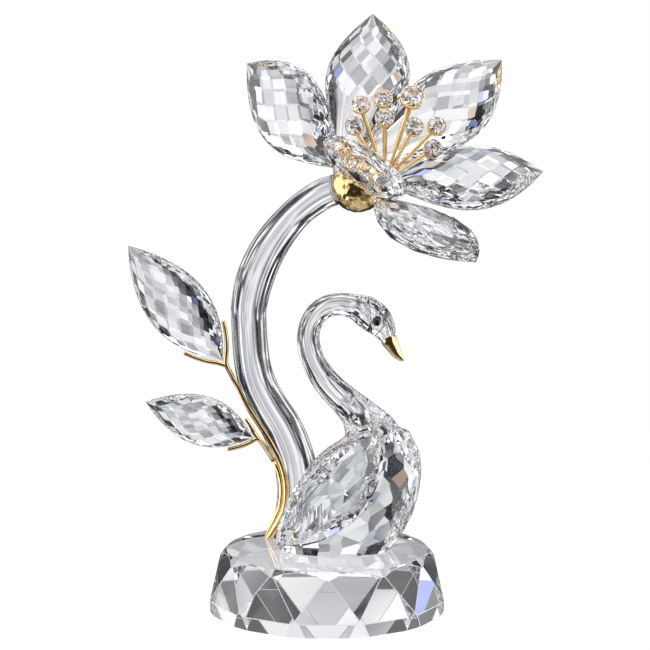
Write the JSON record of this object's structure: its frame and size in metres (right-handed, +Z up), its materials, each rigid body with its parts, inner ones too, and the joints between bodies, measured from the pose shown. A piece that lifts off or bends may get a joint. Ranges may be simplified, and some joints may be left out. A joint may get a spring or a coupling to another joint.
{
  "type": "crystal swan figurine",
  "caption": "Cut crystal swan on a round faceted plinth, in front of a curved crystal stem with gold twig, faceted leaves and a lotus flower with gold stamens.",
  "frame": {"origin": "centre of the plinth's flat underside", "axes": "+Z up, +X to the right of the picture, the way the swan looks, +Y away from the viewer"},
  "size_m": [0.1637, 0.1179, 0.2358],
  "materials": {
    "crystal": "clear cut and polished",
    "round_stone": "clear cut and polished",
    "polished_gold": "polished gold plate",
    "hammered_gold": "hammered gold plate",
    "black_bead": "glossy black"
  },
  "bodies": {
    "root": {"base": "crystal", "swan": "crystal", "wing_near": "crystal", "wing_far": "crystal", "beak": "polished_gold", "eye_near": "black_bead", "eye_far": "black_bead", "stem": "crystal", "twig": "polished_gold", "leaf_upper": "crystal", "leaf_lower": "crystal", "calyx": "hammered_gold", "petal_left": "crystal", "petal_top": "crystal", "petal_upper_right": "crystal", "petal_right": "crystal", "petal_lower_right": "crystal", "petal_front": "crystal", "stamen_1": "polished_gold", "stamen_2": "polished_gold", "stamen_3": "polished_gold", "stamen_4": "polished_gold", "stamen_5": "polished_gold", "stamen_6": "polished_gold", "stamen_7": "polished_gold", "stamen_8": "polished_gold", "stone_1": "round_stone", "stone_2": "round_stone", "stone_3": "round_stone", "stone_4": "round_stone", "stone_5": "round_stone", "stone_6": "round_stone", "stone_7": "round_stone", "stone_8": "round_stone"}
  },
  "joints": []
}
